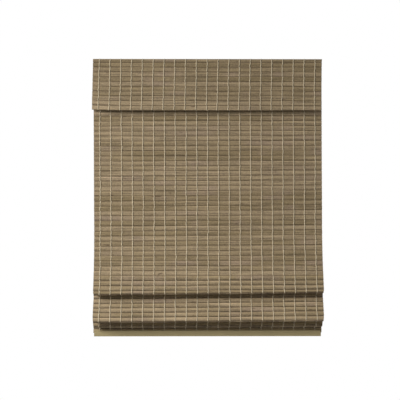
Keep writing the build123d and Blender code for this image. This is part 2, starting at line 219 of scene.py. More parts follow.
class Shader(Nodes):
    """A material under construction, with one Principled shader."""

    def __init__(self, name: str) -> None:
        """Start an empty material.

        Args:
            name: The material's name.
        """
        self.material = bpy.data.materials.new(name)
        self.material.use_nodes = True
        super().__init__(self.material.node_tree)
        self.surface = self.tree.nodes["Principled BSDF"]

    def place(self) -> Value:
        """The point on the piece, in the piece's own frame."""
        return self.node("ShaderNodeTexCoord", output="Object")

    def attribute(self, name: str) -> Value:
        """A vector that the mesh carries at its points."""
        return self.node("ShaderNodeAttribute", {"attribute_name": name}, output="Vector")

    def split(self, vector: Value) -> tuple[Value, Value, Value]:
        """The three parts of a vector."""
        first = self.node("ShaderNodeSeparateXYZ", inputs={0: vector})
        return tuple(Value(self, socket) for socket in first.socket.node.outputs)

    def gather(self, x: Value | float, y: Value | float, z: Value | float) -> Value:
        """A vector from three parts."""
        return self.node("ShaderNodeCombineXYZ", inputs={0: x, 1: y, 2: z})

    def noise(self, vector: Value, scale: float = 1.0, detail: float = 2.0, rough: float = 0.5) -> Value:
        """Soft noise from 0 to 1 at a vector."""
        inputs = {"Vector": vector, "Scale": scale, "Detail": detail, "Roughness": rough}
        return self.node("ShaderNodeTexNoise", inputs=inputs)

    def ease(self, value: Value, low: float, high: float) -> Value:
        """A smooth step from 0 at low to 1 at high."""
        inputs = {"Value": value, "From Min": low, "From Max": high}
        return self.node("ShaderNodeMapRange", {"interpolation_type": "SMOOTHSTEP"}, inputs)

    def mix(self, factor: Value | float, first: Value | Colour, second: Value | Colour) -> Value:
        """One colour at factor 0, the other at factor 1."""
        inputs = {0: factor, MIX_FIRST: first, MIX_SECOND: second}
        return self.node("ShaderNodeMix", {"data_type": "RGBA"}, inputs, MIX_COLOUR)

    def shade(self, factor: Value, colour: Value | Colour) -> Value:
        """A colour made lighter or darker by a factor around 1."""
        inputs = {0: 1.0, MIX_FIRST: colour, MIX_SECOND: self.gather(factor, factor, factor)}
        return self.node("ShaderNodeMix", {"data_type": "RGBA", "blend_type": "MULTIPLY"}, inputs, MIX_COLOUR)

    def bump(self, height: Value, depth: float, strength: float = 1.0) -> None:
        """Raise the surface by a height field, with its depth in metres."""
        inputs = {"Height": height, "Distance": depth, "Strength": strength}
        self.feed(self.surface.inputs["Normal"], self.node("ShaderNodeBump", inputs=inputs))

    def set(self, **inputs: object) -> None:
        """Set or link inputs of the surface.

        Args:
            inputs: Values by the sockets' names, in lower case with underscores for spaces.
        """
        names = {socket.name.lower().replace(" ", "_"): socket for socket in self.surface.inputs}
        for key, value in inputs.items():
            self.feed(names[key], value)


@dataclass(frozen=True)
class Finish(ABC):
    """What a surface is made of."""

    name: str

    def make(self) -> bpy.types.Material:
        """Build the material.

        Returns:
            The finished material.
        """
        shader = Shader(self.name)
        self.paint(shader)
        return shader.material

    @abstractmethod
    def paint(self, shader: Shader) -> None:
        """Fill in the shader.

        Args:
            shader: The material under construction.
        """


@dataclass(frozen=True)
class Bamboo(Finish):
    """Flat bamboo slats, each with its own tone, fibres and knots. A painted highlight lies along the upper
    part of each slat, painted shade along its lower part, and painted shade darkens its edges by the seams.

    Noise is scaled by cycles to the metre along a slat and by cycles to the half height across it. Each share
    says how much a layer counts.
    """

    taupe: Colour = tint(165, 145, 115)
    olive: Colour = tint(140, 122, 90)
    rosy: Colour = tint(159, 138, 118)
    # The colour of the painted shade at the slat edges by the seams.
    seam_shade_colour: Colour = tint(82, 66, 45)
    knot: Colour = tint(88, 69, 49)
    # How much painted highlight lies along the upper part of each slat, and painted shade along its lower
    # part.
    painted_highlight: float = 0.09
    painted_shade: float = 0.06
    seed_share: float = 0.4
    drift_share: float = 0.8
    tone_level: float = -0.1
    rosy_share: float = 0.55
    fibre_share: float = 0.42
    streak_share: float = 1.55
    light_level: float = -0.485
    knot_share: float = 0.75
    # How much the painted shade at the slat edges counts.
    edge_share: float = 0.7
    relief: float = 0.25 * MM

    def paint(self, shader: Shader) -> None:
        """Lay tone, slow drift, fibres and knots over each other, then the painted highlight and shade across
        each slat and the painted shade at its edges.

        Args:
            shader: The material under construction.
        """
        x, across, seed = shader.split(shader.attribute("grain"))
        drift = shader.noise(shader.gather(x * 8.0, seed * 91.0, across * 0.4), detail=3.0)
        blush = shader.noise(shader.gather(x * 8.0, seed * 57.0, 4.0), detail=2.0)
        strands = shader.gather(x * 14.0, across * 8.0 + seed * 40.0, seed * 23.0)
        fibre = shader.noise(strands, detail=4.0, rough=0.62)
        streak = shader.noise(shader.gather(x * 9.0, across * 2.8 + seed * 70.0, seed * 31.0), detail=2.0)
        fleck = shader.noise(shader.gather(x * 210.0, across * 2.4, seed * 77.0), detail=2.0)
        spot = shader.noise(shader.gather(x * 30.0, across * 1.1, seed * 130.0), detail=1.0)
        tone = seed * self.seed_share + drift * self.drift_share + self.tone_level
        colour = shader.mix(shader.ease(tone, 0.15, 0.85), self.taupe, self.olive)
        colour = shader.mix(shader.ease(blush, 0.52, 0.72) * self.rosy_share, colour, self.rosy)
        # Painted light: the upper part of each slat is painted lighter and its lower part darker, as light
        # from above falls on it.
        upper, lower = shader.ease(across, -0.3, 0.75), shader.ease(0.0 - across, 0.1, 0.95)
        painted_light = upper * self.painted_highlight - lower * self.painted_shade
        light = fibre * self.fibre_share + streak * self.streak_share + fleck + self.light_level + painted_light
        colour = shader.shade(light, colour)
        colour = shader.mix(shader.ease(spot, 0.70, 0.80) * self.knot_share, colour, self.knot)
        # Painted shade: each slat's edges are darkened towards the seams, broken up along the slat by noise.
        seam = shader.noise(shader.gather(x * 7.0, seed * 210.0, across), detail=2.0)
        edge = shader.ease(abs(across), 0.78, 1.0) * shader.ease(seam, 0.25, 0.62)
        colour = shader.mix(edge * self.edge_share, colour, self.seam_shade_colour)
        shader.set(base_color=colour, roughness=0.52 + fibre * 0.22, specular_ior_level=0.3)
        shader.bump(fibre + fleck * 0.4, self.relief, 0.6)


@dataclass(frozen=True)
class Yarn(Finish):
    """Twisted cotton yarn, with its plies and loose fibres."""

    pale: Colour = tint(217, 203, 174)
    deep: Colour = tint(168, 151, 121)
    ply_pitch: float = 4.0 * MM
    plies: float = 2.0
    light_level: float = 0.52
    fuzz_share: float = 0.3
    soil_share: float = 0.2
    bead_share: float = 0.46
    relief: float = 0.3 * MM

    def paint(self, shader: Shader) -> None:
        """Wind the plies round the strand, with painted shade between them, and roughen them with fibres.

        Args:
            shader: The material under construction.
        """
        along, turn, seed = shader.split(shader.attribute("strand"))
        phase = along / self.ply_pitch + turn * self.plies
        ridge = (phase * (2 * math.pi)).sine() * 0.5 + 0.5
        fuzz = shader.noise(shader.gather(along * 900.0, turn * 9.0, seed * 51.0), detail=3.0)
        soil = shader.noise(shader.gather(along * 14.0, seed * 33.0, 0.0), detail=2.0)
        # Painted shade: the plies are painted pale on their crowns and deep between them, as light falls on
        # the twist.
        colour = shader.mix(shader.ease(ridge, 0.0, 0.7), self.deep, self.pale)
        bead = shader.noise(shader.gather(along * 105.0, seed * 87.0, 3.0), detail=1.0)
        light = self.light_level + fuzz * self.fuzz_share + soil * self.soil_share + bead * self.bead_share
        shader.set(
            base_color=shader.shade(light, colour),
            roughness=0.8 + fuzz * 0.15,
            specular_ior_level=0.15,
            sheen_weight=0.25,
        )
        shader.bump(ridge + fuzz * 0.5, self.relief, 0.7)


@dataclass(frozen=True)
class Moulding(Finish):
    """Moulded or extruded plastic with a fine matt skin."""

    colour: Colour
    streak: Vector = field(default_factory=lambda: Vector((300.0, 300.0, 300.0)))
    roughness: float = 0.48
    variation: float = 0.12
    relief: float = 0.06 * MM

    def paint(self, shader: Shader) -> None:
        """Let the tone drift along the flow of the plastic.

        Args:
            shader: The material under construction.
        """
        x, y, z = shader.split(shader.place())
        flow = shader.gather(x * self.streak.x, y * self.streak.y, z * self.streak.z)
        skin = shader.noise(flow, detail=3.0)
        cloud = shader.noise(shader.place(), scale=14.0, detail=2.0)
        light = 1.0 - self.variation + (skin + cloud) * self.variation
        shader.set(
            base_color=shader.shade(light, self.colour),
            roughness=self.roughness + skin * 0.14,
            specular_ior_level=0.4,
        )
        shader.bump(shader.noise(shader.place(), scale=2600.0, detail=1.0), self.relief, 0.4)


@dataclass(frozen=True)
class Enamel(Finish):
    """Stoved enamel on folded sheet."""

    colour: Colour
    relief: float = 0.05 * MM

    def paint(self, shader: Shader) -> None:
        """Give the paint its orange peel and a little dust.

        Args:
            shader: The material under construction.
        """
        peel = shader.noise(shader.place(), scale=700.0, detail=2.0)
        dust = shader.noise(shader.place(), scale=26.0, detail=4.0)
        shader.set(
            base_color=shader.shade(0.9 + dust * 0.2, self.colour),
            roughness=0.28 + dust * 0.2,
            coat_weight=0.3,
        )
        shader.bump(peel, self.relief, 0.35)


@dataclass(frozen=True)
class Steel(Finish):
    """Bare or plated steel with drawn lines."""

    colour: Colour
    lines: Vector
    roughness: float = 0.3
    relief: float = 0.03 * MM

    def paint(self, shader: Shader) -> None:
        """Draw fine lines along the metal and dull it in patches.

        Args:
            shader: The material under construction.
        """
        x, y, z = shader.split(shader.place())
        line = shader.noise(
            shader.gather(x * self.lines.x, y * self.lines.y, z * self.lines.z), detail=3.0, rough=0.6
        )
        patch = shader.noise(shader.place(), scale=60.0, detail=3.0)
        shader.set(
            base_color=shader.shade(0.8 + line * 0.2 + patch * 0.2, self.colour),
            metallic=1.0,
            roughness=self.roughness + line * 0.12 + patch * 0.15,
        )
        shader.bump(line, self.relief, 0.4)


@dataclass(frozen=True)
class HookTape(Finish):
    """Woven tape with a pile of loops."""

    colour: Colour
    relief: float = 0.5 * MM

    def paint(self, shader: Shader) -> None:
        """Scatter the loops and let the weave show between them.

        Args:
            shader: The material under construction.
        """
        loops = shader.noise(shader.place(), scale=1100.0, detail=2.0)
        patch = shader.noise(shader.place(), scale=90.0, detail=2.0)
        shader.set(
            base_color=shader.shade(0.6 + loops * 0.6 + patch * 0.2, self.colour),
            roughness=0.85 + loops * 0.1,
            sheen_weight=0.3,
        )
        shader.bump(loops, self.relief, 0.8)


@dataclass(frozen=True)
class Braid(Finish):
    """Thin braided cord."""

    pale: Colour = tint(206, 196, 174)
    deep: Colour = tint(150, 138, 114)
    pitch: float = 2.2 * MM
    relief: float = 0.15 * MM

    def paint(self, shader: Shader) -> None:
        """Cross two sets of strands, with painted shade between them.

        Args:
            shader: The material under construction.
        """
        along, turn, seed = shader.split(shader.attribute("strand"))
        lead = ((along / self.pitch + turn * 2.0) * (2 * math.pi)).sine()
        back = ((along / self.pitch - turn * 2.0) * (2 * math.pi)).sine()
        weave = lead * back * 0.5 + 0.5
        fuzz = shader.noise(shader.gather(along * 700.0, turn * 6.0, seed), detail=2.0)
        # Painted shade: the crossing strands are drawn as pale and deep colour, standing in for the shade
        # between them.
        colour = shader.mix(shader.ease(weave, 0.1, 0.8), self.deep, self.pale)
        shader.set(base_color=shader.shade(0.8 + fuzz * 0.4, colour), roughness=0.75 + fuzz * 0.2)
        shader.bump(weave + fuzz * 0.3, self.relief, 0.6)


@dataclass(frozen=True)
class PlanedWood(Finish):
    """A planed strip with its grain along X."""

    pale: Colour = tint(186, 164, 126)
    deep: Colour = tint(146, 120, 84)
    relief: float = 0.1 * MM

    def paint(self, shader: Shader) -> None:
        """Run the grain along the strip.

        Args:
            shader: The material under construction.
        """
        x, y, z = shader.split(shader.place())
        bands = shader.noise(shader.gather(x * 6.0, y * 420.0, z * 420.0), detail=4.0, rough=0.6)
        pores = shader.noise(shader.gather(x * 160.0, y * 1500.0, z * 1500.0), detail=2.0)
        colour = shader.mix(shader.ease(bands, 0.3, 0.7), self.deep, self.pale)
        shader.set(base_color=shader.shade(0.85 + pores * 0.3, colour), roughness=0.5 + bands * 0.2)
        shader.bump(bands + pores * 0.5, self.relief, 0.4)


# Mesh helpers


def deselect_all() -> None:
    """Leave object mode with nothing selected."""
    if bpy.context.object and bpy.context.object.mode != "OBJECT":
        bpy.ops.object.mode_set(mode="OBJECT")
    bpy.ops.object.select_all(action="DESELECT")


def make_active(piece: bpy.types.Object) -> None:
    """Select one object alone.

    Args:
        piece: The object that operators then act on.
    """
    deselect_all()
    piece.select_set(True)
    bpy.context.view_layer.objects.active = piece


def points_of(mesh: bpy.types.Mesh) -> np.ndarray:
    """Read a mesh's points.

    Args:
        mesh: The mesh to read.

    Returns:
        One row of x, y and z for each point.
    """
    flat = np.empty(len(mesh.vertices) * 3)
    mesh.vertices.foreach_get("co", flat)
    return flat.reshape(-1, 3)


def put_points(mesh: bpy.types.Mesh, points: np.ndarray) -> None:
    """Write a mesh's points."""
    mesh.vertices.foreach_set("co", points.ravel())
    mesh.update()


def note(mesh: bpy.types.Mesh, name: str, vectors: np.ndarray) -> None:
    """Keep a vector at each point of a mesh for its finish to read."""
    kept = mesh.attributes.get(name) or mesh.attributes.new(name, "FLOAT_VECTOR", "POINT")
    kept.data.foreach_set("vector", vectors.astype(np.float32).ravel())


def copy_of(piece: bpy.types.Object) -> bpy.types.Object:
    """Copy an object with a mesh of its own.

    Args:
        piece: The object to copy.

    Returns:
        The linked copy.
    """
    twin = piece.copy()
    twin.data = piece.data.copy()
    bpy.context.scene.collection.objects.link(twin)
    return twin


def join_as(name: str, pieces: list[bpy.types.Object]) -> bpy.types.Object:
    """Join objects into one mesh.

    Args:
        name: The name of the joined piece.
        pieces: What is joined.

    Returns:
        The joined piece.
    """
    deselect_all()
    for piece in pieces:
        piece.select_set(True)
    bpy.context.view_layer.objects.active = pieces[0]
    bpy.ops.object.join()
    joined = bpy.context.object
    joined.name = joined.data.name = name
    return joined


def discard(piece: bpy.types.Object) -> None:
    """Remove a pattern piece that is no longer needed.

    Args:
        piece: The object that goes, with its mesh.
    """
    mesh = piece.data
    bpy.data.objects.remove(piece)
    bpy.data.meshes.remove(mesh)


def dress(piece: bpy.types.Object, material: bpy.types.Material) -> None:
    """Give a piece one material."""
    piece.data.materials.clear()
    piece.data.materials.append(material)


# The line that the mat follows


@dataclass
class HangPlan:
    """How the mat and the valance hang, as seams between slats in the plane of Y and Z."""

    slat: float = 2.4 * MM
    panel_pitch: float = 15.15 * MM
    fold_pitch: float = 14.0 * MM
    curve_slats: int = 13
    curve_angle: float = 23.0
    gathered_slats: int = 3
    header_slats: int = 2
    lip: float = 10.8 * MM
    fold_dip: float = 8.0
    row_spacing: float = 32.0 * MM
    ridge_link: float = 5.5 * MM
    ridge_tilt: float = 10.0
    fold_reaches: tuple[float, float] = (52.0 * MM, 27.0 * MM)
    fold_drops: tuple[float, float] = (105.5 * MM, 91.0 * MM)
    skirt: float = 81.1 * MM
    valance_pitch: float = 14.5 * MM
    valance_header: float = 30.0 * MM
    yarn_count: int = 21
    yarn_strip: float = 3.2 * MM
    top: Vector = field(init=False)
    foot: Vector = field(init=False)
    curve_start: Vector = field(init=False)
    curve_radius: float = field(init=False)

    def __post_init__(self) -> None:
        """Take the places of the mat's ends from the solids."""
        low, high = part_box("shade_panel")
        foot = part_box("fold_stack")[0].z
        panel_y = high.y - self.slat / 2
        turn = math.radians(self.curve_angle)
        hung = turn * (self.curve_slats - self.gathered_slats) / self.curve_slats
        self.curve_radius = self.curve_slats * self.panel_pitch / turn
        seam_z = low.z + math.sin(hung) * self.slat / 2
        self.top = Vector((panel_y, high.z))
        self.foot = Vector((panel_y, foot))
        self.curve_start = Vector((panel_y, seam_z + self.curve_radius * math.sin(hung)))

    @staticmethod
    def step(point: Vector, length: float, angle: float) -> Vector:
        """The point a length away, at an angle counted upwards from the way to the wall."""
        turn = math.radians(angle)
        return point + Vector((math.cos(turn), math.sin(turn))) * length

    @staticmethod
    def straight(start: Vector, end: Vector, pitch: float) -> list[Vector]:
        """Seams that cut a straight leg into whole slats, without its start."""
        count = max(1, round((end - start).length / pitch))
        return [start.lerp(end, n / count) for n in range(1, count + 1)]

    def curve(self) -> list[Vector]:
        """Lay the curve by which the panel comes forward over the folds.

        Returns:
            The seams down the curve, without its start.
        """
        seams = []
        for n in range(1, self.curve_slats + 1):
            turn = math.radians(self.curve_angle) * n / self.curve_slats
            ahead = Vector((1 - math.cos(turn), math.sin(turn))) * self.curve_radius
            seams.append(self.curve_start - ahead)
        return seams

    def under(self, edge: Vector) -> Vector:
        """The end of the slat that turns the mat back under the front edge of a fold."""
        return self.step(edge, self.fold_pitch, -self.fold_dip)

    def ridge(self, last: Vector, row: Vector) -> list[Vector]:
        """The back leg of a fold up to its row, and the link that turns it down again."""
        front = self.step(row, self.ridge_link, 180.0 - self.ridge_tilt)
        return self.straight(last, front, self.fold_pitch) + [row]

    def hanging(self) -> list[Vector]:
        """Seams of the stretch that hangs from the headrail."""
        seams = [self.top] + self.straight(self.top, self.curve_start, self.panel_pitch)
        return seams + self.curve()[: -self.gathered_slats]

    def gathered(self) -> list[Vector]:
        """Lay the stretch that is gathered in folds.

        Returns:
            Its seams, from the parting down to the foot of the mat.
        """
        seams = self.curve()[-self.gathered_slats - 1 :]
        seams.append(self.step(seams[-1], self.lip, 270.0 - self.curve_angle))
        seams.append(self.under(seams[-1]))
        low_row = self.foot + Vector((0.0, self.skirt))
        for n, (reach, fall) in enumerate(zip(self.fold_reaches, self.fold_drops)):
            row = low_row + Vector((0.0, (len(self.fold_reaches) - n) * self.row_spacing))
            edge = row - Vector((reach, fall))
            seams += self.ridge(seams[-1], row)
            seams += self.straight(row, edge, self.fold_pitch)
            seams.append(self.under(edge))
        seams += self.ridge(seams[-1], low_row)
        return seams + self.straight(low_row, self.foot, self.fold_pitch)

    def valance(self) -> list[Vector]:
        """Lay the valance, with whole slats from its lower edge and a cut one at its top.

        Returns:
            Its seams, from the top down.
        """
        low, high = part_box("valance")
        height = high.z - low.z
        flare = high.y - low.y - self.slat
        plane = high.y - self.slat / 2
        whole = int(height // self.valance_pitch)
        drops = [0.0] + [height - n * self.valance_pitch for n in range(whole, -1, -1)]
        past = [max(0.0, drop - self.valance_header) / (height - self.valance_header) for drop in drops]
        return [Vector((plane - flare * share, high.z - drop)) for share, drop in zip(past, drops)]

    def yarn_rows(self) -> list[float]:
        """Find where the rows of yarn stand along X, from the solids.

        Returns:
            One place for each row, from left to right.
        """
        low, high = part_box("valance_threads")
        half = self.yarn_strip / 2
        return list(np.linspace(low.x + half, high.x - half, self.yarn_count))


@dataclass
class MatLine:
    """A chain of slats between seams, with ways to find points along it."""

    seams: list[Vector]
    corner_clearance: float = 0.3 * MM

    @property
    def count(self) -> int:
        """How many slats the chain has."""
        return len(self.seams) - 1

    def heading(self, n: int) -> Vector:
        """The way a slat runs, away from the top of the mat."""
        n = min(max(n, 0), self.count - 1)
        return (self.seams[n + 1] - self.seams[n]).normalized()

    def front(self, n: int) -> Vector:
        """The way that the front of a slat faces."""
        line = self.heading(n)
        return Vector((line.y, -line.x))

    def length(self, n: int) -> float:
        """The distance between the two seams of a slat."""
        return (self.seams[n + 1] - self.seams[n]).length

    def sharpness(self, n: int) -> float:
        """How sharply the mat turns at a seam.

        Args:
            n: The seam.

        Returns:
            0 where the mat is flat or ends, up to 1 where it doubles back.
        """
        if n in (0, self.count):
            return 0.0
        return self.heading(n - 1).angle(self.heading(n)) / math.pi

    def inset(self, n: int, gap: float, thickness: float) -> float:
        """How far slats stop short of a seam so that their corners clear each other.

        Args:
            n: The seam.
            gap: The gap between slats that lie flat.
            thickness: The thickness of a slat.

        Returns:
            The distance from the seam, for each of its two slats.
        """
        if n in (0, self.count):
            return 0.0
        half_turn = self.sharpness(n) * math.pi / 2
        return max(gap / 2, thickness / 2 * math.tan(half_turn) + self.corner_clearance)

    def at(self, place: float) -> Vector:
        """The point at a place counted in slats."""
        n = min(int(place), self.count - 1)
        return self.seams[n].lerp(self.seams[n + 1], place - n)

    def facing(self, place: float, share: float = 0.25) -> Vector:
        """The way the front faces at a place, eased from one slat to the next.

        Args:
            place: The place, counted in slats.
            share: The share of a slat over which it is eased.

        Returns:
            The front's direction.
        """
        n = min(int(place), self.count - 1)
        here = place - n
        if here < share:
            other, weight = n - 1, 0.5 * (1 - here / share)
        elif here > 1 - share:
            other, weight = n + 1, 0.5 * (1 - (1 - here) / share)
        else:
            other, weight = n, 0.0
        return self.front(n).lerp(self.front(other), weight).normalized()


# Woven mats


@dataclass(frozen=True)
class Drift:
    """An amount that changes along a mat, from its top to its foot."""

    shares: tuple[float, ...] = (0.0, 1.0)
    amounts: tuple[float, ...] = (0.0, 0.0)

    def at(self, share: float | np.ndarray) -> float | np.ndarray:
        """The amount at a share of the mat's slats."""
        return np.interp(share, self.shares, self.amounts)


@dataclass(frozen=True)
class Curl:
    """How the lower left corner of a mat turns back to the wall and up."""

    back: float = 0.0
    up: float = 0.0
    width: float = 90.0 * MM

    def felt(self, from_end: np.ndarray, share: float | np.ndarray) -> np.ndarray:
        """How much of the curl is felt at a distance from the left end and a share of the slats."""
        return np.clip(1 - from_end / self.width, 0, 1) ** 2 * share**2


@dataclass
class SlatPattern:
    """One flat slat with rounded edges, from which every slat is copied."""

    width: float
    thickness: float
    height: float
    rounding: float = 0.85 * MM
    rounding_steps: int = 2
    cuts: int = 36
    smooth_angle: float = 40.0

    def model(self) -> bpy.types.Object:
        """Model the slat upright at the origin, front towards the room.

        Returns:
            The pattern piece.
        """
        deselect_all()
        bpy.ops.mesh.primitive_cube_add(size=1.0)
        slat = bpy.context.object
        slat.scale = (self.width, self.thickness, self.height)
        bpy.ops.object.transform_apply(location=False, rotation=False, scale=True)
        self._select_long_edges(slat)
        bpy.ops.mesh.bevel(offset=self.rounding, segments=self.rounding_steps, affect="EDGES")
        self._select_long_edges(slat)
        bpy.ops.mesh.subdivide(number_cuts=self.cuts)
        bpy.ops.object.mode_set(mode="OBJECT")
        bpy.ops.object.shade_smooth_by_angle(angle=math.radians(self.smooth_angle))
        return slat

    def _select_long_edges(self, slat: bpy.types.Object) -> None:
        """Select the edges that run along X, in edit mode.

        Args:
            slat: The pattern piece.
        """
        bpy.ops.object.mode_set(mode="EDIT")
        bpy.ops.mesh.select_mode(type="EDGE")
        bpy.ops.mesh.select_all(action="DESELECT")
        bpy.ops.object.mode_set(mode="OBJECT")
        points = slat.data.vertices
        for edge in slat.data.edges:
            start, end = (points[n].co for n in edge.vertices)
            edge.select = abs(start.x - end.x) > self.width / 2
        bpy.ops.object.mode_set(mode="EDIT")


@dataclass
class StrandPattern:
    """A strand of yarn as a strip of rings, which is led along a path afterwards."""

    sides: int
    rings: int
    weld: float = 0.01 * MM

    def model(self) -> bpy.types.Object:
        """Model the strip as a grid, one row of faces for each side of the strand.

        Returns:
            The pattern piece.
        """
        deselect_all()
        bpy.ops.mesh.primitive_grid_add(
            x_subdivisions=self.sides, y_subdivisions=self.rings - 1, size=2.0
        )
        strip = bpy.context.object
        bpy.ops.object.shade_smooth()
        return strip

    def lead(
        self,
        strip: bpy.types.Object,
        path: np.ndarray,
        widths: np.ndarray,
        depths: np.ndarray,
        seed: float,
    ) -> None:
        """Roll the strip round a path.

        Args:
            strip: A copy of the pattern.
            path: The middle of each ring.
            widths: The half width of each ring, as a vector.
            depths: The half depth of each ring, as a vector.
            seed: A number that tells this strand from the others.
        """
        grid = points_of(strip.data)
        turn = (grid[:, 0] + 1) / 2
        ring = np.rint((grid[:, 1] + 1) / 2 * (self.rings - 1)).astype(int)
        angle = turn * 2 * np.pi
        round_path = np.cos(angle)[:, None] * widths[ring] + np.sin(angle)[:, None] * depths[ring]
        steps = np.linalg.norm(np.diff(path, axis=0), axis=1)
        along = np.concatenate(([0.0], np.cumsum(steps)))
        put_points(strip.data, path[ring] + round_path)
        note(strip.data, "strand", np.column_stack((along[ring], turn, np.full(len(turn), seed))))
        self._close(strip)

    def _close(self, strip: bpy.types.Object) -> None:
        """Weld the strip's two long edges, close its ends and turn its faces outwards.

        Args:
            strip: The strip, rolled round its path.
        """
        make_active(strip)
        bpy.ops.object.mode_set(mode="EDIT")
        bpy.ops.mesh.select_all(action="SELECT")
        bpy.ops.mesh.remove_doubles(threshold=self.weld)
        bpy.ops.mesh.fill_holes(sides=0)
        bpy.ops.mesh.select_all(action="SELECT")
        bpy.ops.mesh.normals_make_consistent(inside=False)
        bpy.ops.object.mode_set(mode="OBJECT")


@dataclass
class WovenMat:
    """Slats bound by rows of yarn: one hanging stretch of matting.

    Each slat has its own waver, lean and end play, and unruly scales the first two. A thin web closes every
    seam behind the yarn. The middle of a strand stands off the slats by the share twine_seat of its half
    depth, and a twine_flat above 1 keeps it flat on them between the seams.
    """

    name: str
    line: MatLine
    width: float
    body: Body
    stands_for: tuple[str, ...]
    seed: int
    first_slat: int = 0
    skew: Drift = Drift()
    sway: Drift = Drift()
    unruly: float = 1.0
    curl: Curl = Curl()
    thickness: float = 2.4 * MM
    back_clearance: float = 0.25 * MM
    seam_gap: float = 1.3 * MM
    corner_trim: float = 2.5 * MM
    edge_waver: float = 0.3 * MM
    face_waver: float = 0.18 * MM
    lean: float = 1.1
    end_play: float = 0.5 * MM
    grain_length: float = 9.0
    web: float = 0.8 * MM
    web_inset: float = 1.0 * MM
    web_tone: float = 0.01
    yarn_half_width: float = 1.55 * MM
    yarn_half_depth: float = 0.75 * MM
    yarn_swell: float = 0.12
    yarn_sides: int = 6
    yarn_steps: int = 6
    yarn_waver: float = 0.4 * MM
    yarn_waves: tuple[float, ...] = (0.05, 0.13, 0.31, 0.54)
    twine_seat: float = 0.75
    twine_flat: float = 2.4
    twine_side: float = 0.5 * MM
    slats: bpy.types.Object = field(init=False)
    yarn: bpy.types.Object = field(init=False)

    def build(self, slat: bpy.types.Object, rows: list[float]) -> None:
        """Build the slats and the yarn.

        Args:
            slat: The pattern of a slat.
            rows: Where the rows of yarn stand along X.
        """
        rng = random.Random(self.seed)
        laid = [self._slat(slat, n, rng) for n in range(self.line.count)]
        webs = [self._web(slat, n) for n in range(1, self.line.count)]
        self.slats = join_as(f"{self.name}_slats", laid + webs)
        self.yarn = self._yarn(rows, rng)
        for piece in (self.slats, self.yarn):
            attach(piece, self.body.value)
        LOG.info("%s: %d slats, %d rows of yarn", self.name, self.line.count, len(rows))

    def dress(self, bamboo: bpy.types.Material, yarn: bpy.types.Material) -> None:
        """Give the slats and the yarn their finishes and let them stand for the solids.

        Args:
            bamboo: The slats' finish.
            yarn: The yarn's finish.
        """
        dress(self.slats, bamboo)
        dress(self.yarn, yarn)
        if self.stands_for:
            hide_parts(self.stands_for[0])
            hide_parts(self.stands_for[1])

    def gather_with(self, joint: str, anchor: Vector, keep: float) -> None:
        """Give the slats and the yarn meshes of their own."""
        for piece in (self.slats, self.yarn):
            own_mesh(piece)

    def _wave(self, rng: random.Random, x: np.ndarray, height: float, most: int = 4) -> np.ndarray:
        """A slow natural waver along a slat.

        Args:
            rng: The mat's own source of chance.
            x: Places along the slat.
            height: About how far it wavers.
            most: How many waves at most run along the slat.

        Returns:
            The waver at each place.
        """
        total = np.zeros_like(x)
        for n in range(1, most + 1):
            phase = rng.uniform(0, 2 * math.pi)
            total += rng.uniform(0.3, 1.0) / n * np.sin(2 * math.pi * n * x / self.width + phase)
        return total * height * self.unruly

    def _frame(self, n: int, middle: Vector) -> Matrix:
        """The matrix that stands a slat at its place in the chain.

        Args:
            n: The slat's number from the top.
            middle: The slat's middle.

        Returns:
            The matrix for the slat's mesh.
        """
        line, front = self.line.heading(n), self.line.front(n)
        turned = Matrix(((1, 0, 0), (0, -front.x, -line.x), (0, -front.y, -line.y)))
        return Matrix.Translation((0, middle.x, middle.y)) @ turned.to_4x4()

    def _slat(self, pattern: bpy.types.Object, n: int, rng: random.Random) -> bpy.types.Object:
        """Copy the pattern for one slat, with its own waver, tilt and tone.

        Args:
            pattern: The pattern of a slat.
            n: The slat's number from the top.
            rng: The mat's own source of chance.

        Returns:
            The slat in its place.
        """
        line = self.line
        start, end = (line.inset(k, self.seam_gap, self.thickness) for k in (n, n + 1))
        piece = copy_of(pattern)
        points = points_of(piece.data)
        tall = line.length(n) - start - end
        half = np.abs(points[:, 2]).max()
        across = points[:, 2] / half
        x = points[:, 0] * self.width / (2 * np.abs(points[:, 0]).max())
        shift, tone = rng.uniform(0, self.grain_length), rng.random()
        note(piece.data, "grain", np.column_stack((x + shift, across, np.full(len(x), tone))))
        upper, lower = (self._wave(rng, x, self.edge_waver) * (0 < k < line.count) for k in (n, n + 1))
        edges = upper * (1 + across) / 2 + lower * (1 - across) / 2
        lean = math.tan(math.radians(rng.uniform(-self.lean, self.lean) * self.unruly))
        ends = [self.corner_trim * line.sharpness(k) for k in (n, n + 1)]
        trim = ends[0] * (1 + across) / 2 + ends[1] * (1 - across) / 2
        points[:, 0] = x * (1 - rng.uniform(0, self.end_play) / self.width) * (1 - 2 * trim / self.width)
        points[:, 2] = across * tall / 2 + edges
        points[:, 1] += self._wave(rng, x, self.face_waver) + points[:, 2] * lean
        points[:, 1] = np.minimum(points[:, 1], self.thickness / 2 - self.back_clearance)
        put_points(piece.data, points)
        first = line.seams[n] + line.heading(n) * start
        last = line.seams[n + 1] - line.heading(n) * end
        piece.data.transform(self._frame(n, (first + last) / 2))
        self._hang_askew(piece.data, n + (1 - across) / 2)
        return piece

    def _web(self, pattern: bpy.types.Object, n: int) -> bpy.types.Object:
        """The thin web that closes a seam behind the yarn, coloured with the painted shade of the seams.

        Args:
            pattern: The pattern of a slat.
            n: The seam's number from the top.

        Returns:
            The web in its place.
        """
        piece = copy_of(pattern)
        points = points_of(piece.data)
        tall = 2 * self.line.inset(n, self.seam_gap, self.thickness) + self.web
        wide = self.width - 2 * (self.web_inset + self.corner_trim * self.line.sharpness(n))
        points *= np.array((wide, self.web, tall)) / (2 * np.abs(points).max(axis=0))
        every = np.ones(len(points))
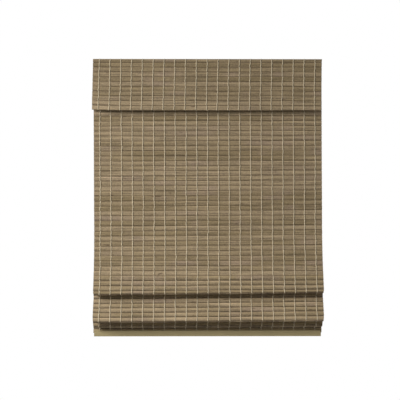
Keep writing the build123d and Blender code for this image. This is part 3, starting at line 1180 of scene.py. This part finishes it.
        # Marking the web as the lower edge of a slat gives it the full painted shade of the seams.
        note(piece.data, "grain", np.column_stack((points[:, 0], -every, every * n * self.web_tone)))
        put_points(piece.data, points)
        before, after = self.line.heading(n - 1), self.line.heading(n)
        line = (before + after).normalized()
        turned = Matrix(((1, 0, 0), (0, -line.y, -line.x), (0, line.x, -line.y)))
        middle = self.line.seams[n]
        piece.data.transform(Matrix.Translation((0, middle.x, middle.y)) @ turned.to_4x4())
        self._hang_askew(piece.data, n)
        return piece

    def _askew(self, x: np.ndarray, places: float | np.ndarray) -> np.ndarray:
        """How far points of the mat hang from where a straight mat has them.

        Args:
            x: Where the points are along the mat.
            places: Where they are down the mat, counted in slats.

        Returns:
            One row of x, y and z for each point.
        """
        share = places / self.line.count
        curled = self.curl.felt(x + self.width / 2, share)
        aside = self.sway.at(share) + np.zeros_like(x)
        up = x / self.width * self.skew.at(share) + curled * self.curl.up
        return np.column_stack((aside, curled * self.curl.back, up))

    def _hang_askew(self, mesh: bpy.types.Mesh, places: float | np.ndarray) -> None:
        """Let one end hang higher than the other, the mat sway to one side and its corner curl."""
        points = points_of(mesh)
        put_points(mesh, points + self._askew(points[:, 0], places))

    def _yarn(self, rows: list[float], rng: random.Random) -> bpy.types.Object:
        """Twine two strands down each row, which change sides at every seam.

        Args:
            rows: Where the rows stand along X.
            rng: The mat's own source of chance.

        Returns:
            All rows as one piece.
        """
        rings = self.line.count * self.yarn_steps + 1
        pattern = StrandPattern(self.yarn_sides, rings)
        blank = pattern.model()
        places = np.linspace(0, self.line.count, rings)
        middles = np.array([self.line.at(s) for s in places])
        fronts = np.array([self.line.facing(s) for s in places])
        strands = []
        for x in rows:
            drift = self._row_drift(rng, places)
            for sign in (1, -1):
                strip = copy_of(blank)
                path = self._strand_path(x, sign, places, middles, fronts, drift)
                widths, depths = self._rings(path, rng)
                pattern.lead(strip, path, widths, depths, rng.random())
                strands.append(strip)
        discard(blank)
        return join_as(f"{self.name}_yarn", strands)

    def _row_drift(self, rng: random.Random, places: np.ndarray) -> np.ndarray:
        """How a row of yarn wanders sideways down the mat.

        Args:
            rng: The mat's own source of chance.
            places: Places along the mat, counted in slats.

        Returns:
            The distance from the row's own line at each place.
        """
        slow = np.zeros_like(places)
        for waves in self.yarn_waves:
            swing, phase = self.yarn_waver * rng.uniform(0.4, 1.0), rng.uniform(0, 6.3)
            slow += swing * np.sin(2 * math.pi * waves * places + phase)
        return slow

    def _strand_path(
        self,
        x: float,
        sign: int,
        places: np.ndarray,
        middles: np.ndarray,
        fronts: np.ndarray,
        drift: np.ndarray,
    ) -> np.ndarray:
        """The middle line of one strand.

        Args:
            x: Where its row stands.
            sign: 1 for the strand that starts in front, -1 for the other.
            places: Places along the mat, counted in slats.
            middles: The mat's middle at those places.
            fronts: The way the mat's front faces there.
            drift: How the row wanders sideways.

        Returns:
            One point for each place.
        """
        phase = (places + self.first_slat) * math.pi
        reach = self.thickness / 2 + self.yarn_half_depth * self.twine_seat
        out = sign * reach * np.clip(self.twine_flat * np.sin(phase), -1, 1)
        side = x + drift + sign * self.twine_side * np.cos(phase)
        flat = middles + fronts * out[:, None]
        return np.column_stack((side, flat)) + self._askew(side, places)

    def _rings(self, path: np.ndarray, rng: random.Random) -> tuple[np.ndarray, np.ndarray]:
        """Half widths and half depths of a strand's rings.

        Args:
            path: The middle of each ring.
            rng: The mat's own source of chance.

        Returns:
            The half widths and the half depths, as vectors.
        """
        along = np.gradient(path, axis=0)
        along /= np.linalg.norm(along, axis=1)[:, None]
        depth = np.cross(along, np.array((1.0, 0.0, 0.0)))
        depth /= np.linalg.norm(depth, axis=1)[:, None]
        width = np.cross(depth, along)
        least, most = 1 - self.yarn_swell, 1 + self.yarn_swell
        swell = np.array([rng.uniform(least, most) for _ in path])[:, None]
        return width * self.yarn_half_width * swell, depth * self.yarn_half_depth * swell


# Lift cords


@dataclass
class LiftCord:
    """One lift cord: its turns on the spool, its drop through the rings, and its knot."""

    side: Side
    radius: float = 0.7 * MM
    turn_steps: int = 20
    drop_rings: int = 60
    sides: int = 6
    turns_seed: float = 0.5
    knot_height: float = 1.7 * MM
    knot_radius: float = 1.0 * MM
    knot_tilt: float = 70.0
    knot_turn: float = 25.0
    knot_segments: tuple[int, int] = (16, 8)
    knot_weave: float = 300.0
    path: np.ndarray = field(init=False)
    drop: bpy.types.Object = field(init=False)
    turns: bpy.types.Object = field(init=False)
    knot: bpy.types.Object = field(init=False)

    def build(self) -> None:
        """Build the three stretches of the cord and let each follow what carries it."""
        low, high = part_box(f"{self.side.word}_lift_cord")
        ring_low, ring_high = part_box(f"{self.side.word}_ring_5")
        spool_low, spool_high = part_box(f"{self.side.word}_spool")
        shaft = (spool_low + spool_high) / 2
        x = (ring_low.x + ring_high.x) / 2
        wound = (high.z - shaft.z) - self.radius
        y = shaft.y - wound
        knot_z = low.z + self.knot_height
        heights = np.linspace(shaft.z, knot_z, self.drop_rings)
        self.path = np.column_stack((np.full_like(heights, x), np.full_like(heights, y), heights))
        self.drop = self._tube(f"{self.side.word}_cord_drop", self.path)
        self.turns = self._turns(low, high, shaft, wound)
        self.knot = self._knot(x, y, knot_z)
        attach(self.drop, Body.HEADRAIL.value)
        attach(self.turns, Body.SHAFT.value)
        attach(self.knot, Body.FOLDS.value)

    def gather_with(self, joint: str, rise: float) -> None:
        """Give the drop a mesh of its own.

        Args:
            joint: Not used.
            rise: How far that joint goes up.
        """
        high, low = float(self.path[0, 2]), float(self.path[-1, 2])
        keep = 1 - rise / (high - low)
        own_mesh(self.drop)

    def dress(self, braid: bpy.types.Material) -> None:
        """Give all three stretches the braid and let them stand for the solid.

        Args:
            braid: The cord's finish.
        """
        for piece in (self.drop, self.turns, self.knot):
            dress(piece, braid)
        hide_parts(f"{self.side.word}_lift_cord")

    def _tube(self, name: str, path: np.ndarray) -> bpy.types.Object:
        """Lead a round tube along a straight path.

        Args:
            name: The piece's name.
            path: The middle of each ring.

        Returns:
            The closed tube.
        """
        pattern = StrandPattern(self.sides, len(path))
        strip = pattern.model()
        strip.name = strip.data.name = name
        along = np.gradient(path, axis=0)
        along /= np.linalg.norm(along, axis=1)[:, None]
        guide = np.array((0.0, 1.0, 0.0)) if abs(along[0, 1]) < 0.9 else np.array((1.0, 0.0, 0.0))
        wide = np.cross(along, guide)
        wide /= np.linalg.norm(wide, axis=1)[:, None]
        deep = np.cross(along, wide)
        pattern.lead(strip, path, wide * self.radius, deep * self.radius, 0.0)
        return strip

    def _turns(self, low: Vector, high: Vector, shaft: Vector, wound: float) -> bpy.types.Object:
        """Lay the turns on the spool, side by side.

        Args:
            low: The lower corner of the cord's solid.
            high: The upper corner of the cord's solid.
            shaft: The middle of the spool.
            wound: The radius of the turns.

        Returns:
            The turns as one closed tube.
        """
        inner, outer = sorted((low.x, high.x), key=abs)
        pitch = 2 * self.radius
        count = int((abs(outer - inner) - pitch) / pitch)
        steps = np.arange(count * self.turn_steps + 1) / self.turn_steps
        angle = math.pi + 2 * math.pi * steps
        x = inner + self.side.value * (self.radius + pitch * steps)
        path = np.column_stack((x, shaft.y + wound * np.cos(angle), shaft.z + wound * np.sin(angle)))
        pattern = StrandPattern(self.sides, len(path))
        strip = pattern.model()
        strip.name = strip.data.name = f"{self.side.word}_cord_turns"
        out = np.column_stack((np.zeros(len(angle)), np.cos(angle), np.sin(angle))) * self.radius
        wide = np.tile(np.array((self.radius, 0.0, 0.0)), (len(angle), 1))
        pattern.lead(strip, path, wide, out, self.turns_seed)
        return strip

    def _knot(self, x: float, y: float, z: float) -> bpy.types.Object:
        """Draw up the knot inside the cord stop, as one turn.

        Args:
            x: Where the cord is along X.
            y: Where the cord is along Y.
            z: The height of the knot's middle.

        Returns:
            The knot.
        """
        deselect_all()
        bpy.ops.mesh.primitive_torus_add(
            location=(x, y, z),
            rotation=(math.radians(self.knot_tilt), 0, math.radians(self.knot_turn)),
            major_radius=self.knot_radius,
            minor_radius=self.radius,
            major_segments=self.knot_segments[0],
            minor_segments=self.knot_segments[1],
        )
        knot = bpy.context.object
        knot.name = knot.data.name = f"{self.side.word}_cord_knot"
        bpy.ops.object.transform_apply(location=True, rotation=True, scale=True)
        bpy.ops.object.shade_smooth()
        points = points_of(knot.data)
        along, turn = points[:, 0], points[:, 2] * self.knot_weave
        note(knot.data, "strand", np.column_stack((along, turn, np.zeros(len(points)))))
        return knot


# Fittings that keep their solids


@dataclass
class Fittings:
    """The solids that show as they are, each with its finish."""

    nodes: dict[str, bpy.types.Object]

    def dress(self) -> None:
        """Give every fitting the finish of the longest word that its name holds."""
        cream = Enamel("cream_enamel", tint(214, 206, 188)).make()
        caps = Moulding("cream_moulding", tint(206, 198, 180)).make()
        zinc = Steel("zinc_plate", tint(190, 190, 186), Vector((60.0, 60.0, 900.0)), 0.34).make()
        drawn = Steel("drawn_bar", tint(168, 168, 170), Vector((20.0, 2200.0, 2200.0)), 0.26).make()
        coil = Steel("spring_strip", tint(120, 126, 138), Vector((30.0, 2600.0, 2600.0)), 0.22).make()
        tape = HookTape("hook_tape", tint(196, 188, 168)).make()
        white = Moulding("white_moulding", tint(224, 222, 214), roughness=0.38).make()
        ivory = Moulding("ivory_moulding", tint(220, 212, 194), roughness=0.35).make()
        drawn_out = Vector((5.0, 700.0, 700.0))
        khaki = Moulding("khaki_rail", tint(168, 153, 113), drawn_out, 0.5, 0.16).make()
        wood = PlanedWood("batten_wood").make()
        finishes = {
            "headrail_channel": cream, "end_cap": caps, "bracket": zinc, "bracket_bolts": zinc,
            "bracket_nuts": zinc, "shade_tape": tape, "valance_tape": tape, "cradle": white,
            "motor_frame": white, "drum": white, "spool": white, "power_spring": coil, "lift_shaft": drawn,
            "bottom_rail": khaki, "rail_cap": khaki, "batten": wood, "ring": ivory, "cord_stop": ivory,
        }
        words = sorted(finishes, key=len, reverse=True)
        for name, node in self.nodes.items():
            word = next((word for word in words if word in name), None)
            if word:
                dress(node, finishes[word])
                LOG.info("%s: %s", name, finishes[word].name)


# Studio


@dataclass(frozen=True)
class Lamp:
    """A square soft light."""

    name: str
    place: Place
    size: float
    power: float
    spread: float = 180.0


@dataclass
class Studio:
    """White surroundings, a pale floor, soft light from the upper left, and the camera."""

    image_px: float = 400.0
    millimetres_each_pixel: float = 3.0087
    distance: float = 3.0
    turn: float = 0.5
    sensor: float = 36.0 * MM
    object_middle_px: float = 207.55
    object_top_px: float = 59.45
    floor_drop: float = 1.6
    floor_radius: float = 2.0
    floor_sides: int = 64
    ambient: float = 0.145
    middle_drop: float = 0.4
    corner_left: float = -0.35
    corner_drop: float = 0.8
    key: Lamp = Lamp("key_light", (-3.4, -2.1, 1.0), 1.7, 27.0, 62.0)
    fill: Lamp = Lamp("fill_light", (1.0, -3.2, 0.1), 2.4, 5.0)
    back: Lamp = Lamp("back_light", (1.6, 2.8, 0.9), 2.0, 70.0)

    def build(self, panel_y: float, top: float) -> None:
        """Set up the surroundings, the lights and the camera.

        Args:
            panel_y: Where the mat hangs along Y.
            top: The height of the valance's top.
        """
        self._colours()
        self._world()
        self._floor(top)
        middle = Vector((0.0, panel_y, top - self.middle_drop))
        low_left = Vector((self.corner_left, panel_y, top - self.corner_drop))
        for lamp, aim in ((self.key, low_left), (self.fill, middle), (self.back, middle)):
            self._light(lamp, aim)
        self._camera(panel_y, top)

    def _colours(self) -> None:
        """Show colours as they are, with no film curve."""
        view = bpy.context.scene.view_settings
        view.view_transform = "Standard"
        view.look = "None"
        view.exposure = 0.0
        view.gamma = 1.0

    def _world(self) -> None:
        """White behind the object, and dimmer as light."""
        world = bpy.data.worlds.new("white_surroundings")
        bpy.context.scene.world = world
        world.use_nodes = True
        nodes = Nodes(world.node_tree)
        dim = nodes.tree.nodes["Background"]
        nodes.feed(dim.inputs["Color"], WHITE)
        nodes.feed(dim.inputs["Strength"], self.ambient)
        seen = nodes.node("ShaderNodeBackground", inputs={"Color": WHITE})
        by_camera = nodes.node("ShaderNodeLightPath", output="Is Camera Ray")
        inputs = {0: by_camera, 1: Value(nodes, dim.outputs[0]), 2: seen}
        choice = nodes.node("ShaderNodeMixShader", inputs=inputs)
        nodes.feed(nodes.tree.nodes["World Output"].inputs["Surface"], choice)

    def _floor(self, top: float) -> None:
        """Lay a pale round floor well below the shade.

        Args:
            top: The height of the valance's top.
        """
        deselect_all()
        bpy.ops.mesh.primitive_circle_add(
            vertices=self.floor_sides,
            radius=self.floor_radius,
            fill_type="NGON",
            location=(0, 0, top - self.floor_drop),
        )
        floor = bpy.context.object
        floor.name = floor.data.name = "floor"
        dress(floor, Moulding("pale_floor", tint(236, 235, 232), roughness=0.6, variation=0.03).make())

    def _light(self, lamp: Lamp, aim: Vector) -> None:
        """Put up a light that looks at a point.

        Args:
            lamp: The light's place and strength.
            aim: The point.
        """
        light = bpy.data.lights.new(lamp.name, "AREA")
        light.shape = "SQUARE"
        light.size = lamp.size
        light.energy = lamp.power
        light.spread = math.radians(lamp.spread)
        stand = bpy.data.objects.new(lamp.name, light)
        stand.location = lamp.place
        stand.rotation_euler = (aim - Vector(lamp.place)).to_track_quat("-Z", "Y").to_euler()
        bpy.context.scene.collection.objects.link(stand)

    def _camera(self, panel_y: float, top: float) -> None:
        """Set up a level camera, hardly turned, that frames the shade as the photograph does.

        Args:
            panel_y: Where the mat hangs along Y.
            top: The height of the valance's top.
        """
        pixel = self.millimetres_each_pixel * MM
        view = self.image_px * pixel
        lens = bpy.data.cameras.new("camera")
        lens.sensor_width = self.sensor / MM
        lens.lens = self.sensor * self.distance / view / MM
        aim = Vector((
            (self.image_px / 2 - self.object_middle_px) * pixel,
            panel_y,
            top - (self.image_px / 2 - self.object_top_px) * pixel,
        ))
        turn = math.radians(self.turn)
        stand = bpy.data.objects.new("camera", lens)
        stand.location = aim - Vector((math.sin(turn), math.cos(turn), 0.0)) * self.distance
        stand.rotation_euler = (math.radians(90), 0.0, -turn)
        bpy.context.scene.collection.objects.link(stand)
        bpy.context.scene.camera = stand


def weave_mats(rise: float) -> None:
    """Weave the valance, the header, the hanging stretch and the gathered stretch.

    Args:
        rise: How far the lift joint goes up.
    """
    plan = HangPlan()
    rows = plan.yarn_rows()
    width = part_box("shade_panel")[1].x * 2
    valance_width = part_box("valance")[1].x * 2
    seams = plan.hanging()
    cut = plan.header_slats
    aside = 2.7 * MM
    valance = WovenMat(
        "valance",
        MatLine(plan.valance()),
        valance_width,
        Body.HEADRAIL,
        ("valance", "valance_threads"),
        seed=11,
        sway=Drift(amounts=(0.0, -3.2 * MM)),
        curl=Curl(back=9.0 * MM, up=3.0 * MM),
    )
    header = WovenMat("header", MatLine(seams[: cut + 1]), width, Body.HEADRAIL, (), seed=23)
    panel = WovenMat(
        "panel",
        MatLine(seams[cut:]),
        width,
        Body.HEADRAIL,
        ("shade_panel", "panel_threads"),
        seed=37,
        first_slat=cut,
        skew=Drift((0.0, 0.15, 0.85, 1.0), (0.0, 2.5 * MM, 4.5 * MM, 0.0)),
        sway=Drift(amounts=(0.0, aside)),
    )
    stack = WovenMat(
        "stack",
        MatLine(plan.gathered()),
        width,
        Body.FOLDS,
        ("fold_stack", "stack_threads"),
        seed=53,
        first_slat=len(seams) - 1,
        skew=Drift((0.0, 0.09, 0.4, 1.0), (0.0, 6.8 * MM, 4.8 * MM, 1.2 * MM)),
        sway=Drift(amounts=(aside, 0.0)),
        unruly=0.6,
    )
    # The slat finishes differ only in how much painted highlight and painted shade lie across each slat; the
    # gathered slats carry the most.
    plain = Bamboo("bamboo_slats").make()
    even = Bamboo("valance_slats", painted_highlight=0.02, painted_shade=0.0).make()
    strong_painted_light = Bamboo("gathered_slats", painted_highlight=0.3, painted_shade=0.36).make()
    yarn = Yarn("binding_yarn").make()
    slat = SlatPattern(width, plan.slat, plan.panel_pitch).model()
    for mat, bamboo in ((valance, even), (header, plain), (panel, plain), (stack, strong_painted_light)):
        mat.build(slat, rows)
        mat.dress(bamboo, yarn)
    discard(slat)
    tall = seams[cut].y - seams[-1].y
    panel.gather_with("lift", Vector((0.0, 0.0, seams[cut].y)), 1 - rise / tall)


def hang_cords(rise: float) -> None:
    """Lead both lift cords from their spools to their knots.

    Args:
        rise: How far the lift joint goes up.
    """
    braid = Braid("lift_cord_braid").make()
    for side in Side:
        cord = LiftCord(side)
        cord.build()
        cord.dress(braid)
        cord.gather_with("lift", rise)
        LOG.info("%s lift cord", side.word)


def main() -> None:
    """Build the shade's looks in order."""
    logging.basicConfig(level=logging.INFO, format="%(name)s: %(message)s")
    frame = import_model()
    rise = next(joint for joint in frame["joints"] if joint["name"] == "lift")["range_m"][1]
    Fittings(frame["nodes"]).dress()
    weave_mats(rise)
    hang_cords(rise)
    Studio().build(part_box("shade_panel")[1].y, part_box("valance")[1].z)
    LOG.info("sizes written")


if __name__ == "__main__":
    main()
